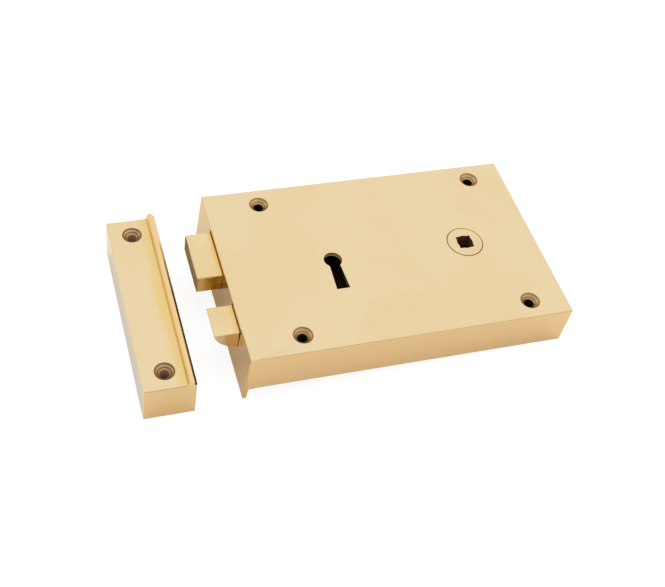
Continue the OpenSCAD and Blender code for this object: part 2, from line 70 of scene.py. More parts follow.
# Case
# One casting in pale brass: front, walls, forend with its lip, bosses and windows.
# The front is polished satin, the inside is left as it comes from the mould.
MM = 0.001
CASE_L, CASE_H, CASE_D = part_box("case")[1] / MM
FRONT_WALL = 2.2
SIDE_WALL = 2.5
FOREND_WALL = 3.5
MIDDLE = CASE_H / 2
BRASS = (0.865, 0.69, 0.42, 1)
DEEP_BRASS = (0.84, 0.62, 0.32, 1)
# Deeper, warmer gold laid on the sides of case and keep: a painted reflection of warm light
# bounced from the table and the brass.
SIDE_REFLECTION_BRASS = (0.87, 0.61, 0.30, 1)
RAW_BRASS = (0.42, 0.27, 0.12, 1)
RAW_DEEP = (0.20, 0.115, 0.045, 1)
COLOUR = "NodeSocketColor"
VECTOR = "NodeSocketVector"
NUMBER = "NodeSocketFloat"


def mm(*numbers):
    """Millimetres in metres."""
    return tuple(number * MM for number in numbers)


def link(tree, source, target):
    tree.links.new(source, target)


def feed(tree, socket, value):
    """Give a socket a plain value, or link another node's output to it."""
    if isinstance(value, (int, float, tuple)):
        socket.default_value = value
    elif value is not None:
        link(tree, value, socket)


def math_node(tree, operation, a, b=None, clamp=False):
    node = tree.nodes.new("ShaderNodeMath")
    node.operation = operation
    node.use_clamp = clamp
    for socket, value in zip(node.inputs, (a, b)):
        feed(tree, socket, value)
    return node.outputs["Value"]


def vector_node(tree, operation, a, b=None):
    node = tree.nodes.new("ShaderNodeVectorMath")
    node.operation = operation
    for socket, value in zip(node.inputs, (a, b)):
        feed(tree, socket, value)
    return node.outputs["Value" if operation in ("LENGTH", "DOT_PRODUCT") else "Vector"]


def noise(tree, place, scale, detail, rough=0.5, stretch=(1, 1, 1)):
    """Noise over the piece, finer along an axis whose stretch is larger."""
    mapping = tree.nodes.new("ShaderNodeMapping")
    mapping.inputs["Scale"].default_value = stretch
    link(tree, place, mapping.inputs["Vector"])
    node = tree.nodes.new("ShaderNodeTexNoise")
    node.inputs["Scale"].default_value = scale
    node.inputs["Detail"].default_value = detail
    node.inputs["Roughness"].default_value = rough
    link(tree, mapping.outputs["Vector"], node.inputs["Vector"])
    return node.outputs["Fac"]


def spread(tree, value, low, high, to_low=0.0, to_high=1.0):
    """Smooth step from one number to another while the value goes from low to high."""
    node = tree.nodes.new("ShaderNodeMapRange")
    node.interpolation_type = "SMOOTHSTEP"
    limits = {"Value": value, "From Min": low, "From Max": high, "To Min": to_low,
              "To Max": to_high}
    for name, limit in limits.items():
        feed(tree, node.inputs[name], limit)
    return node.outputs["Result"]


def mix(tree, factor, a, b):
    """Mix of two colours, or of two values taken as greys."""
    node = tree.nodes.new("ShaderNodeMix")
    node.data_type = "RGBA"
    for socket, value in ((node.inputs[0], factor), (node.inputs[6], a), (node.inputs[7], b)):
        feed(tree, socket, value)
    return node.outputs[2]


def new_group(name, inputs, outputs):
    """Node group for shaders: its tree, its inputs, its outputs and the place on the piece."""
    tree = bpy.data.node_groups.new(name, "ShaderNodeTree")
    for label, kind, value in inputs:
        socket = tree.interface.new_socket(name=label, in_out="INPUT", socket_type=kind)
        socket.default_value = value
    for label, kind in outputs:
        tree.interface.new_socket(name=label, in_out="OUTPUT", socket_type=kind)
    into = tree.nodes.new("NodeGroupInput").outputs
    out = tree.nodes.new("NodeGroupOutput").inputs
    return tree, into, out, tree.nodes.new("ShaderNodeTexCoord").outputs["Object"]


def put(tree, group, **values):
    """Place a node group in a tree, with its values or links, and return its outputs."""
    node = tree.nodes.new("ShaderNodeGroup")
    node.node_tree = group
    for name, value in values.items():
        feed(tree, node.inputs[name], value)
    return node.outputs


# Clouds of warmer metal, fine satin grain and hair scratches on a finished face
FLECK_DULL = 0.045
HAIR_DULL = 0.03
HAIR_RISE = -0.25
satin, given, result, where = new_group(
    "satin_metal",
    [("Base", COLOUR, BRASS), ("Deep", COLOUR, DEEP_BRASS), ("Clouds", NUMBER, 0.35),
     ("Roughness", NUMBER, 0.15)],
    [("Color", COLOUR), ("Roughness", NUMBER), ("Height", NUMBER)])
cloud = spread(satin, noise(satin, where, scale=28, detail=3), 0.42, 0.68)
fleck = spread(satin, noise(satin, where, scale=900, detail=2), 0.35, 0.75)
hair = spread(satin, noise(satin, where, scale=260, detail=3, stretch=(0.12, 7, 7)), 0.55, 0.72)
warmth = math_node(satin, "MULTIPLY", cloud, given["Clouds"])
link(satin, mix(satin, warmth, given["Base"], given["Deep"]), result["Color"])
uneven = math_node(satin, "MULTIPLY", math_node(satin, "ADD", fleck, cloud), FLECK_DULL)
dull = math_node(satin, "ADD", uneven, given["Roughness"])
scratched = math_node(satin, "ADD", dull, math_node(satin, "MULTIPLY", hair, HAIR_DULL))
link(satin, scratched, result["Roughness"])
rise = math_node(satin, "ADD", math_node(satin, "MULTIPLY", hair, HAIR_RISE), fleck)
link(satin, rise, result["Height"])

# Sand texture of a casting that nobody has worked
sandy, given, result, where = new_group(
    "raw_casting",
    [("Base", COLOUR, RAW_BRASS), ("Deep", COLOUR, RAW_DEEP)],
    [("Color", COLOUR), ("Roughness", NUMBER), ("Height", NUMBER)])
sand = noise(sandy, where, scale=1400, detail=3, rough=0.7)
blotch = spread(sandy, noise(sandy, where, scale=60, detail=4), 0.35, 0.7)
link(sandy, mix(sandy, blotch, given["Base"], given["Deep"]), result["Color"])
link(sandy, spread(sandy, sand, 0.3, 0.8, 0.42, 0.62), result["Roughness"])
link(sandy, sand, result["Height"])

# Turned countersink with its tool rings in brown tones of painted shade, a painted shade along its
# rim, and the drilled hole in it, painted in the Bore colour: painted shade by default, painted
# light of the table seen down the hole on the keep. The screw holes lie evenly about Centre, each
# Half away from it.
SINK_R = 4.5 * MM
BORE_R = 2.25 * MM
RING_PITCH = 1.1 * MM
TOOL_PITCH = 0.24 * MM
SINK_ROUGH = (0.36, 0.36, 0.36, 1)
turned, given, result, where = new_group(
    "countersink",
    [("Centre", VECTOR, (0, 0, 0)), ("Half", VECTOR, (0, 0, 0)),
     ("Light", COLOUR, (0.76, 0.53, 0.27, 1)), ("Deep", COLOUR, (0.44, 0.27, 0.10, 1)),
     ("Bore", COLOUR, (0.03, 0.015, 0.01, 1))],
    [("Color", COLOUR), ("Mask", NUMBER), ("Hole", NUMBER), ("Height", NUMBER)])
off_centre = vector_node(turned, "SUBTRACT", where, given["Centre"])
folded = vector_node(turned, "ABSOLUTE", off_centre)
from_hole = vector_node(turned, "SUBTRACT", folded, given["Half"])
radius = vector_node(turned, "LENGTH", vector_node(turned, "MULTIPLY", from_hole, (1, 1, 0)))
sunk = spread(turned, radius, SINK_R + 0.02 * MM, SINK_R + 0.1 * MM, 1.0, 0.0)
link(turned, sunk, result["Mask"])
hole = spread(turned, radius, BORE_R + 0.03 * MM, BORE_R + 0.12 * MM, 1.0, 0.0)
link(turned, hole, result["Hole"])
wave = math_node(turned, "SINE", math_node(turned, "MULTIPLY", radius, math.tau / RING_PITCH))
rim_shade = spread(turned, radius, SINK_R - 0.5 * MM, SINK_R - 0.1 * MM)
tone = math_node(turned, "SUBTRACT", spread(turned, wave, -1, 1), rim_shade, clamp=True)
rings = mix(turned, tone, given["Deep"], given["Light"])
link(turned, mix(turned, hole, rings, given["Bore"]), result["Color"])
ridge = math_node(turned, "SINE", math_node(turned, "MULTIPLY", radius, math.tau / TOOL_PITCH))
link(turned, ridge, result["Height"])

# Mask that is 1 inside a box of the piece and 0 outside it
boxed, given, result, where = new_group(
    "box_mask",
    [("Low", VECTOR, (0, 0, 0)), ("High", VECTOR, (0, 0, 0)), ("Soft", VECTOR, (0, 0, 0))],
    [("Mask", NUMBER)])
sides = []
for corner, before, after in (("Low", (0, 0, 0), (1, 1, 1)), ("High", (1, 1, 1), (0, 0, 0))):
    ramp = boxed.nodes.new("ShaderNodeMapRange")
    ramp.data_type = "FLOAT_VECTOR"
    ramp.interpolation_type = "SMOOTHSTEP"
    start = vector_node(boxed, "SUBTRACT", given[corner], given["Soft"])
    end = vector_node(boxed, "ADD", given[corner], given["Soft"])
    for socket, value in zip(ramp.inputs[6:11], (where, start, end, before, after)):
        feed(boxed, socket, value)
    sides.append(ramp.outputs["Vector"])
parts = boxed.nodes.new("ShaderNodeSeparateXYZ")
link(boxed, vector_node(boxed, "MULTIPLY", *sides), parts.inputs["Vector"])
across = math_node(boxed, "MULTIPLY", parts.outputs["X"], parts.outputs["Y"])
link(boxed, math_node(boxed, "MULTIPLY", across, parts.outputs["Z"]), result["Mask"])

# Tint laid over a colour inside a box, broken into streaks along X where it is patchy. Most of
# these tints are painted light: painted shade, painted shadow, painted reflection or painted
# highlight.
tint_and_light_group, given, result, where = new_group(
    "tint_and_painted_light",
    [("Base", COLOUR, BRASS), ("Tint", COLOUR, RAW_BRASS), ("Low", VECTOR, (0, 0, 0)),
     ("High", VECTOR, (0, 0, 0)), ("Soft", VECTOR, (0, 0, 0)), ("Amount", NUMBER, 1.0),
     ("Patchy", NUMBER, 0.0)],
    [("Color", COLOUR)])
box = put(tint_and_light_group, boxed, Low=given["Low"], High=given["High"], Soft=given["Soft"])["Mask"]
streaks = noise(tint_and_light_group, where, scale=420, detail=3, stretch=(0.3, 1, 1))
clear = math_node(tint_and_light_group, "SUBTRACT", 1.0, given["Patchy"])
broken = spread(tint_and_light_group, streaks, 0.38, 0.62, clear, 1.0)
held = math_node(tint_and_light_group, "MULTIPLY", box, given["Amount"])
cover = math_node(tint_and_light_group, "MULTIPLY", held, broken)
link(tint_and_light_group, mix(tint_and_light_group, cover, given["Base"], given["Tint"]), result["Color"])


def region(x=(None, None), y=(None, None), z=(None, None), soft=0.05):
    """Values for a box mask, from millimetres. A side that is None lies far outside the piece."""
    far = 1000
    soft = soft if isinstance(soft, tuple) else (soft, soft, soft)
    low = [-far if side[0] is None else side[0] for side in (x, y, z)]
    high = [far if side[1] is None else side[1] for side in (x, y, z)]
    return {"Low": mm(*low), "High": mm(*high), "Soft": mm(*soft)}


def paint(tree, colour, tints_and_light):
    """Lay the tints, painted shade and painted reflections over a colour, one on the other."""
    for values in tints_and_light:
        colour = put(tree, tint_and_light_group, Base=colour, **values)["Color"]
    return colour


def matt_under_painted_light(tree, shader, regions, mirror=1.0):
    """Take the mirror off the metal inside these regions, where painted shade and painted light
    are laid, so that reflections don't cover them.
    """
    for values in regions:
        clean = math_node(tree, "SUBTRACT", 1.0, put(tree, boxed, **values)["Mask"])
        mirror = math_node(tree, "MULTIPLY", mirror, clean)
    link(tree, mirror, shader.inputs["Metallic"])
    shader.inputs["Specular IOR Level"].default_value = 0.0


def new_metal(name):
    """Material whose shader is plain metal, with its node tree and that shader."""
    material = bpy.data.materials.new(name)
    material.use_nodes = True
    shader = material.node_tree.nodes["Principled BSDF"]
    shader.inputs["Metallic"].default_value = 1.0
    return material, material.node_tree, shader


def give_height(tree, shader, height, strength, distance):
    """Raise and lower the surface by a fine height."""
    bump = tree.nodes.new("ShaderNodeBump")
    bump.inputs["Strength"].default_value = strength
    bump.inputs["Distance"].default_value = distance
    link(tree, height, bump.inputs["Height"])
    link(tree, bump.outputs["Normal"], shader.inputs["Normal"])


def cast_metal(name, raw, holes, tints_and_light, matt, **look):
    """Polished metal with tints and painted light and shade, made matt where given, turned
    countersinks, and raw casting in a region.
    """
    material, tree, shader = new_metal(name)
    outside = put(tree, satin, **look)
    inside = put(tree, sandy)
    sink = put(tree, turned, **holes)
    mask = put(tree, boxed, **raw)["Mask"]
    skin = mix(tree, mask, paint(tree, outside["Color"], tints_and_light), inside["Color"])
    link(tree, mix(tree, sink["Mask"], skin, sink["Color"]), shader.inputs["Base Color"])
    rough = mix(tree, mask, outside["Roughness"], inside["Roughness"])
    link(tree, mix(tree, sink["Mask"], rough, SINK_ROUGH), shader.inputs["Roughness"])
    matt_under_painted_light(tree, shader, matt, math_node(tree, "SUBTRACT", 1.0, sink["Hole"]))
    height = mix(tree, mask, outside["Height"], inside["Height"])
    height = mix(tree, sink["Mask"], height, sink["Height"])
    give_height(tree, shader, height, strength=0.2, distance=0.03 * MM)
    return material


def broken_edges(name, width):
    """Copy of a CAD node with its doubles merged and its sharp edges rounded."""
    source = frame["nodes"][name]
    piece = source.copy()
    piece.data = source.data.copy()
    piece.name = name + "_finished"
    piece.parent = None
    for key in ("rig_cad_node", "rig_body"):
        if key in piece:
            del piece[key]
    bpy.context.scene.collection.objects.link(piece)
    mesh = piece.data
    if mesh.attributes.get("custom_normal"):
        mesh.attributes.remove(mesh.attributes["custom_normal"])
    solid = bmesh.new()
    solid.from_mesh(mesh)
    bmesh.ops.remove_doubles(solid, verts=solid.verts, dist=1e-6)
    bmesh.ops.dissolve_limit(solid, angle_limit=math.radians(0.4), verts=solid.verts,
                             edges=solid.edges)
    bmesh.ops.recalc_face_normals(solid, faces=solid.faces)
    for face in solid.faces:
        face.smooth = True
    solid.to_mesh(mesh)
    solid.free()
    bevel = piece.modifiers.new("bevel", "BEVEL")
    bevel.width = width
    bevel.segments = 2
    bevel.limit_method = "ANGLE"
    bevel.angle_limit = math.radians(30)
    bevel.use_clamp_overlap = True
    bevel.miter_outer = "MITER_ARC"
    level = piece.modifiers.new("level", "WEIGHTED_NORMAL")
    level.mode = "FACE_AREA"
    level.weight = 100
    graph = bpy.context.evaluated_depsgraph_get()
    finished = bpy.data.meshes.new_from_object(piece.evaluated_get(graph))
    piece.modifiers.clear()
    piece.data = finished
    return piece


def dress(name, material, width, body):
    """Refined copy of a CAD node that stands for it, in its own material."""
    piece = broken_edges(name, width)
    piece.data.materials.clear()
    piece.data.materials.append(material)
    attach(piece, body)
    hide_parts(name)
    return piece


# Each region holds only the skin of the faces that it tints, a fraction of a millimetre deep
# Dark brown for painted shade in recesses and painted dark reflections.
SHADE_BROWN = (0.30, 0.15, 0.04, 1)
# Grey laid along the bottom edges where case and keep meet the table: a painted contact shadow.
CONTACT_SHADOW_GREY = (0.58, 0.46, 0.32, 1)
CASE_INSIDE = region(x=(0.9 * FOREND_WALL, CASE_L - 0.9 * SIDE_WALL),
                     y=(0.9 * SIDE_WALL, CASE_H - 0.9 * SIDE_WALL),
                     z=(None, CASE_D - 0.9 * FRONT_WALL))
CASE_HOLES = {"Centre": mm(79.95, MIDDLE, 0), "Half": mm(54.25, 39, 0)}
CASE_SIDES = region(z=(None, CASE_D - 0.05), soft=0.03)
FOREND = region(x=(None, 0.15), z=(None, CASE_D - 0.3))
LOWER_EDGE = region(x=(2, None), y=(None, 0.3), z=(-1, 0.6), soft=(0.6, 0.2, 0.3))
UPPER_EDGE = region(y=(CASE_H - 0.45, None), z=(CASE_D - 0.5, None), soft=0.15)
CORNER_EDGE = region(x=(None, 0.25), y=(None, 17), z=(CASE_D - 0.2, None),
                     soft=(0.05, 0.5, 0.05))
KEY_SIDES = (46, 56)
KEY_TOP = MIDDLE + 5.25
KEYHOLE_WALL = region(x=KEY_SIDES, y=(MIDDLE - 1, KEY_TOP), z=(CASE_D - 2.5, CASE_D - 0.15))
KEYHOLE_RIM = region(x=KEY_SIDES, y=(30, KEY_TOP), z=(CASE_D - 2.3, CASE_D - 1.55))
CASE_TINTS_AND_LIGHT = [
    # Sides: painted warm reflection.
    dict(CASE_SIDES, Tint=SIDE_REFLECTION_BRASS, Amount=1.0),
    # Forend: painted reflection of the shaded table between keep and case, deeper gold and partly
    # in streaks.
    dict(FOREND, Tint=(0.82, 0.55, 0.20, 1), Amount=0.9),
    dict(FOREND, Tint=(0.62, 0.38, 0.14, 1), Amount=0.35, Patchy=0.6),
    # Near side's bottom edge: painted contact shadow.
    dict(LOWER_EDGE, Tint=CONTACT_SHADOW_GREY, Amount=1.0),
    # Front's left edge near the corner: painted dark line of shade on the chamfer, made matt.
    dict(CORNER_EDGE, Tint=(0.16, 0.08, 0.02, 1), Amount=1.0),
    dict(UPPER_EDGE, Tint=(0.70, 0.58, 0.38, 1), Amount=0.8),
    # Keyhole wall: painted shade inside the keyhole, made matt.
    dict(KEYHOLE_WALL, Tint=SHADE_BROWN, Amount=0.9),
    # Keyhole rim: painted highlight on the wall just under the front.
    dict(KEYHOLE_RIM, Tint=(0.95, 0.78, 0.62, 1), Amount=1.0),
]
case_brass = cast_metal("case_brass", CASE_INSIDE, CASE_HOLES, CASE_TINTS_AND_LIGHT,
                        (KEYHOLE_WALL, CORNER_EDGE),
                        Base=BRASS, Deep=DEEP_BRASS, Clouds=0.35, Roughness=0.15)
dress("case", case_brass, 0.08 * MM, "root")

# Back plate and its screws
# Rolled brass plate let into the back of the case.
# Four countersunk brass screws with slotted heads hold it.


def metal(name, tints_and_light=(), matt=(), **look):
    """Satin metal, with tints and painted light and shade, made matt where they are given."""
    material, tree, shader = new_metal(name)
    finish = put(tree, satin, **look)
    link(tree, paint(tree, finish["Color"], tints_and_light), shader.inputs["Base Color"])
    link(tree, finish["Roughness"], shader.inputs["Roughness"])
    if matt:
        matt_under_painted_light(tree, shader, matt)
    give_height(tree, shader, finish["Height"], strength=0.16, distance=0.02 * MM)
    return material


plate_brass = metal("plate_brass", Base=(0.80, 0.58, 0.29, 1), Deep=(0.66, 0.43, 0.19, 1),
                    Clouds=0.6, Roughness=0.36)
screw_brass = metal("screw_brass", Base=(0.74, 0.52, 0.24, 1), Deep=(0.52, 0.34, 0.15, 1),
                    Clouds=0.7, Roughness=0.3)
dress("back_plate", plate_brass, 0.08 * MM, "root")
dress("back_plate_screws", screw_brass, 0.08 * MM, "root")

# Dead bolt with its stump and the post that guides it
# Cast brass, filed square and polished on top, darker on the sides by painted reflections and
# painted shade, with painted reflections on its top by the window and on its end.
# The stump and the post are turned steel pins.
BOLT_LOOK = {"Base": (0.87, 0.69, 0.40, 1), "Deep": (0.84, 0.60, 0.27, 1), "Clouds": 0.5,
             "Roughness": 0.12}
# Gold for the painted reflection of the forend's edge on the bolts' tops; olive for painted
# reflections on the near side.
FOREND_REFLECTION_GOLD = (0.86, 0.56, 0.15, 1)
OLIVE_REFLECTION = (0.60, 0.34, 0.01, 1)
SHADY = (0.52, 0.32, 0.06, 1)
STEEL = (0.44, 0.43, 0.42, 1)
DARK_STEEL = (0.20, 0.19, 0.18, 1)
dead_low, dead_high = (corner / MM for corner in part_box("dead_bolt"))
BOLT_TOP = dead_high.z
TOP_SKIN = (BOLT_TOP - 0.2, None)
BELOW_TOP = (None, BOLT_TOP - 0.2)
BESIDE_WINDOW = (-2, 0.2)
IN_WINDOW = (0, 3)
SHOULDER = region(x=(0.1, 3), z=TOP_SKIN, soft=0.1)
DEAD_SIDE = (None, dead_low.y + 0.3)
DEAD_TOP = (None, dead_high.y)
END_SKIN = (None, dead_low.x + 0.1)
DEAD_END = region(x=END_SKIN, z=(None, BOLT_TOP - 0.1))
# All painted light: reflection of the forend on the top, shade in the window, warm reflection and
# dark streaks on the near side, dark reflections of the keep on the end.
DEAD_PAINTED_LIGHT = [
    dict(region(x=BESIDE_WINDOW, y=DEAD_TOP, z=TOP_SKIN, soft=(0.8, 1, 0.05)),
         Tint=FOREND_REFLECTION_GOLD, Amount=0.8),
    dict(region(x=IN_WINDOW, y=DEAD_TOP, z=TOP_SKIN, soft=(0.2, 1, 0.05)),
         Tint=SHADY, Amount=0.95),
    dict(region(x=(None, 1), y=DEAD_SIDE, z=BELOW_TOP, soft=0.1),
         Tint=(0.84, 0.54, 0.20, 1), Amount=1.0),
    dict(region(x=(-8.5, 1), y=DEAD_SIDE, z=BELOW_TOP, soft=(2, 0.1, 0.1)),
         Tint=OLIVE_REFLECTION, Amount=1.0, Patchy=0.15),
    dict(region(x=(-4.5, 1), y=DEAD_SIDE, z=BELOW_TOP, soft=(1.5, 0.1, 0.1)),
         Tint=SHADE_BROWN, Amount=0.9, Patchy=0.8),
    dict(DEAD_END, Tint=(0.46, 0.33, 0.19, 1), Amount=1.0),
    dict(region(x=END_SKIN, z=(BOLT_TOP - 1.1, BOLT_TOP - 0.1), soft=0.3),
         Tint=(0.30, 0.17, 0.06, 1), Amount=0.8, Patchy=0.3),
    dict(region(x=END_SKIN, y=(None, dead_low.y + 0.6), z=(None, BOLT_TOP), soft=0.2),
         Tint=(0.26, 0.14, 0.05, 1), Amount=0.8),
    dict(region(x=END_SKIN, y=(dead_high.y - 7, None), z=(BOLT_TOP - 1.7, BOLT_TOP - 0.1),
                soft=(0.05, 3, 0.3)),
         Tint=(0.05, 0.02, 0.01, 1), Amount=0.95),
]
dead_brass = metal("dead_bolt_brass", DEAD_PAINTED_LIGHT, (DEAD_END, SHOULDER), **BOLT_LOOK)
turned_steel = metal("turned_steel", Base=STEEL, Deep=DARK_STEEL, Clouds=0.6, Roughness=0.34)
dress("dead_bolt", dead_brass, 0.12 * MM, "dead_bolt")
dress("bolt_stump", turned_steel, 0.1 * MM, "dead_bolt")
dress("bolt_guide_post", turned_steel, 0.1 * MM, "root")

# Latch bolt with its tail, rivets and guide post
# The bolt is cast brass with a bevel behind. Its tail is a flat steel bar, riveted into a slot.
# A headed steel post in the front wall guides the tail.
latch_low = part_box("latch_bolt")[0] / MM
LATCH_SIDE = (None, latch_low.y + 0.3)
# All painted light: reflection of the forend on the top, shade in the window, warm reflection and
# an orange patch of reflection on the near side.
LATCH_PAINTED_LIGHT = [
    dict(region(x=BESIDE_WINDOW, z=TOP_SKIN, soft=(1.6, 1, 0.05)),
         Tint=FOREND_REFLECTION_GOLD, Amount=0.8, Patchy=0.2),
    dict(region(x=IN_WINDOW, z=TOP_SKIN, soft=(0.2, 1, 0.05)), Tint=SHADY, Amount=0.95),
    dict(region(x=(None, 1), y=LATCH_SIDE, z=BELOW_TOP, soft=0.1),
         Tint=(0.78, 0.56, 0.30, 1), Amount=1.0),
    dict(region(x=(-5, -1.5), y=LATCH_SIDE, z=(9, 16), soft=(2, 0.1, 2.5)),
         Tint=(0.87, 0.56, 0.17, 1), Amount=0.7),
    # Painted shadow in the gap between the near side and the window's edge.
    dict(region(x=(-0.6, 1), y=LATCH_SIDE, soft=0.1), Tint=(0.06, 0.025, 0.01, 1), Amount=0.95),
]
latch_brass = metal("latch_bolt_brass", LATCH_PAINTED_LIGHT, (SHOULDER,), **BOLT_LOOK)
rolled_steel = metal("rolled_steel", Base=(0.34, 0.335, 0.33, 1), Deep=(0.13, 0.115, 0.105, 1),
                     Clouds=0.85, Roughness=0.4)
dress("latch_bolt", latch_brass, 0.12 * MM, "latch")
dress("latch_tail", rolled_steel, 0.1 * MM, "latch")
dress("latch_rivets", turned_steel, 0.1 * MM, "latch")
dress("latch_guide_post", turned_steel, 0.1 * MM, "root")

# Latch spring and the rod inside it
# Hardened round wire wound in even curls, with a turned steel rod that keeps it straight.
# In the lock it is pressed shorter as the latch bolt goes in; here it is built at one length.
COIL_FRONT = 71 * MM
COIL_L = 33 * MM
COIL_DIA = 7 * MM
WIRE_DIA = 0.9 * MM
COIL_Y = 14.3 * MM
COIL_Z = 14.05 * MM
END_GAP = 0.1 * MM
COIL_SIZES = {"Curls": 10.0, "Length": COIL_L - WIRE_DIA - 2 * END_GAP,
              "Radius": (COIL_DIA - WIRE_DIA) / 2, "Wire Radius": WIRE_DIA / 2,
              "Steps": 40, "Sides": 14}
spring_steel = metal("spring_steel", Base=(0.30, 0.30, 0.31, 1), Deep=(0.10, 0.12, 0.17, 1),
                     Clouds=0.8, Roughness=0.28)


def coil_tree():
    """Geometry Nodes: a spiral swept with a round wire."""
    tree = bpy.data.node_groups.new("wound_wire", "GeometryNodeTree")
    face = tree.interface
    face.new_socket(name="Geometry", in_out="INPUT", socket_type="NodeSocketGeometry")
    for label, kind in (("Curls", NUMBER), ("Length", NUMBER), ("Radius", NUMBER),
                        ("Wire Radius", NUMBER), ("Steps", "NodeSocketInt"),
                        ("Sides", "NodeSocketInt"), ("Material", "NodeSocketMaterial")):
        face.new_socket(name=label, in_out="INPUT", socket_type=kind)
    face.new_socket(name="Geometry", in_out="OUTPUT", socket_type="NodeSocketGeometry")
    add = tree.nodes.new
    into, out = add("NodeGroupInput").outputs, add("NodeGroupOutput").inputs
    spiral = add("GeometryNodeCurveSpiral")
    link(tree, into["Steps"], spiral.inputs["Resolution"])
    link(tree, into["Curls"], spiral.inputs["Rotations"])
    link(tree, into["Radius"], spiral.inputs["Start Radius"])
    link(tree, into["Radius"], spiral.inputs["End Radius"])
    link(tree, into["Length"], spiral.inputs["Height"])
    wire = add("GeometryNodeCurvePrimitiveCircle")
    link(tree, into["Sides"], wire.inputs["Resolution"])
    link(tree, into["Wire Radius"], wire.inputs["Radius"])
    sweep = add("GeometryNodeCurveToMesh")
    sweep.inputs["Fill Caps"].default_value = True
    link(tree, spiral.outputs["Curve"], sweep.inputs["Curve"])
    link(tree, wire.outputs["Curve"], sweep.inputs["Profile Curve"])
    real = add("GeometryNodeRealizeInstances")
    link(tree, sweep.outputs["Mesh"], real.inputs["Geometry"])
    coat = add("GeometryNodeSetMaterial")
    link(tree, real.outputs["Geometry"], coat.inputs["Geometry"])
    link(tree, into["Material"], coat.inputs["Material"])
    link(tree, coat.outputs["Geometry"], out["Geometry"])
    return tree


def grown(name, tree, values):
    """Plain mesh made by a Geometry Nodes tree with these input values."""
    piece = bpy.data.objects.new(name, bpy.data.meshes.new(name))
    bpy.context.scene.collection.objects.link(piece)
    nodes = piece.modifiers.new("nodes", "NODES")
    nodes.node_group = tree
    for item in tree.interface.items_tree:
        if item.in_out == "INPUT" and item.name in values:
            nodes[item.identifier] = values[item.name]
    bpy.context.view_layer.update()
    graph = bpy.context.evaluated_depsgraph_get()
    finished = bpy.data.meshes.new_from_object(piece.evaluated_get(graph))
    piece.modifiers.clear()
    piece.data = finished
    return piece


coil = grown("latch_spring_wire", coil_tree(), {**COIL_SIZES, "Material": spring_steel})
coil.data.transform(Matrix.Translation((COIL_FRONT + WIRE_DIA / 2 + END_GAP, COIL_Y, COIL_Z))
                    @ Matrix.Rotation(math.radians(90), 4, "Y"))
coil.data.shade_smooth()
coil.data.set_sharp_from_angle(angle=math.radians(50))
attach(coil, "root")
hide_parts("latch_spring")
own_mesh(coil)
dress("latch_spring_rod", turned_steel, 0.1 * MM, "root")

# Follower
# Turned and broached brass hub, flush with the front, with two arms behind it.
# A painted dark line of shade shows the gap where the hub turns in the front.
SPINDLE_X = 117
HOLE_HALF = 4.4
HUB_R = 8.6 * MM
HUB_GAP_SHADE = (0.34, 0.25, 0.10, 1)
# Square spindle hole: painted shade inside it, made matt.
SPINDLE_HOLE = region(x=(SPINDLE_X - HOLE_HALF, SPINDLE_X + HOLE_HALF),
                      y=(MIDDLE - HOLE_HALF, MIDDLE + HOLE_HALF), z=(0.8, CASE_D - 0.3), soft=0.1)
HUB_PAINTED_SHADE = [dict(SPINDLE_HOLE, Tint=(0.14, 0.055, 0.02, 1), Amount=1.0)]
hub_brass = metal("hub_brass", HUB_PAINTED_SHADE, (SPINDLE_HOLE,),
                  Base=(0.86, 0.68, 0.41, 1), Deep=(0.78, 0.54, 0.24, 1),
                  Clouds=0.4, Roughness=0.15)
# Painted dark line of shade in the gap round the hub.
tree = hub_brass.node_tree
base = tree.nodes["Principled BSDF"].inputs["Base Color"]
place = tree.nodes.new("ShaderNodeTexCoord").outputs["Object"]
from_spindle = vector_node(tree, "SUBTRACT", place, mm(SPINDLE_X, MIDDLE, 0))
radius = vector_node(tree, "LENGTH", vector_node(tree, "MULTIPLY", from_spindle, (1, 1, 0)))
edge = spread(tree, radius, HUB_R - 0.4 * MM, HUB_R - 0.15 * MM)
link(tree, mix(tree, edge, base.links[0].from_socket, HUB_GAP_SHADE), base)
dress("follower", hub_brass, 0.08 * MM, "follower")

# Lever post and its collars
# Turned steel pin between the front wall and the back plate.
# Two brass collars on it hold the levers at their height.
dress("lever_post", turned_steel, 0.1 * MM, "root")
dress("lever_spacers", plate_brass, 0.08 * MM, "root")

# Levers and their springs
# Three stamped brass levers turn on one post.
# A blued steel leaf on the back of each lever pushes it down.
LEAF_KEEP = (0.94, 0.935, 0.92)
lever_brass = metal("lever_brass", Base=(0.72, 0.49, 0.21, 1), Deep=(0.45, 0.28, 0.11, 1),
                    Clouds=0.7, Roughness=0.34)
leaf_steel = metal("leaf_steel", Base=(0.17, 0.21, 0.30, 1), Deep=(0.10, 0.10, 0.11, 1),
                   Clouds=0.7, Roughness=0.3)
for i, keep in enumerate(LEAF_KEEP, 1):
    dress(f"lever_{i}", lever_brass, 0.06 * MM, f"lever_{i}")
    leaf = dress(f"lever_spring_{i}", leaf_steel, 0.05 * MM, "root")
    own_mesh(leaf)

# Box keep
# Cast brass box that lies beside the lock, with its strike lip towards the bolts.
# It has two countersunk screw holes, and its inside is left as it comes from the mould.
keep_low, keep_high = (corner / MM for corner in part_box("keep"))
KEEP_FACE = 12.4
FOOT = keep_high.x - 3.6
KEEP_INSIDE = region(x=(keep_low.x + 2, keep_high.x - 2), y=(keep_low.y + 8, keep_high.y - 8),
                     z=(None, keep_low.z + 19.2))
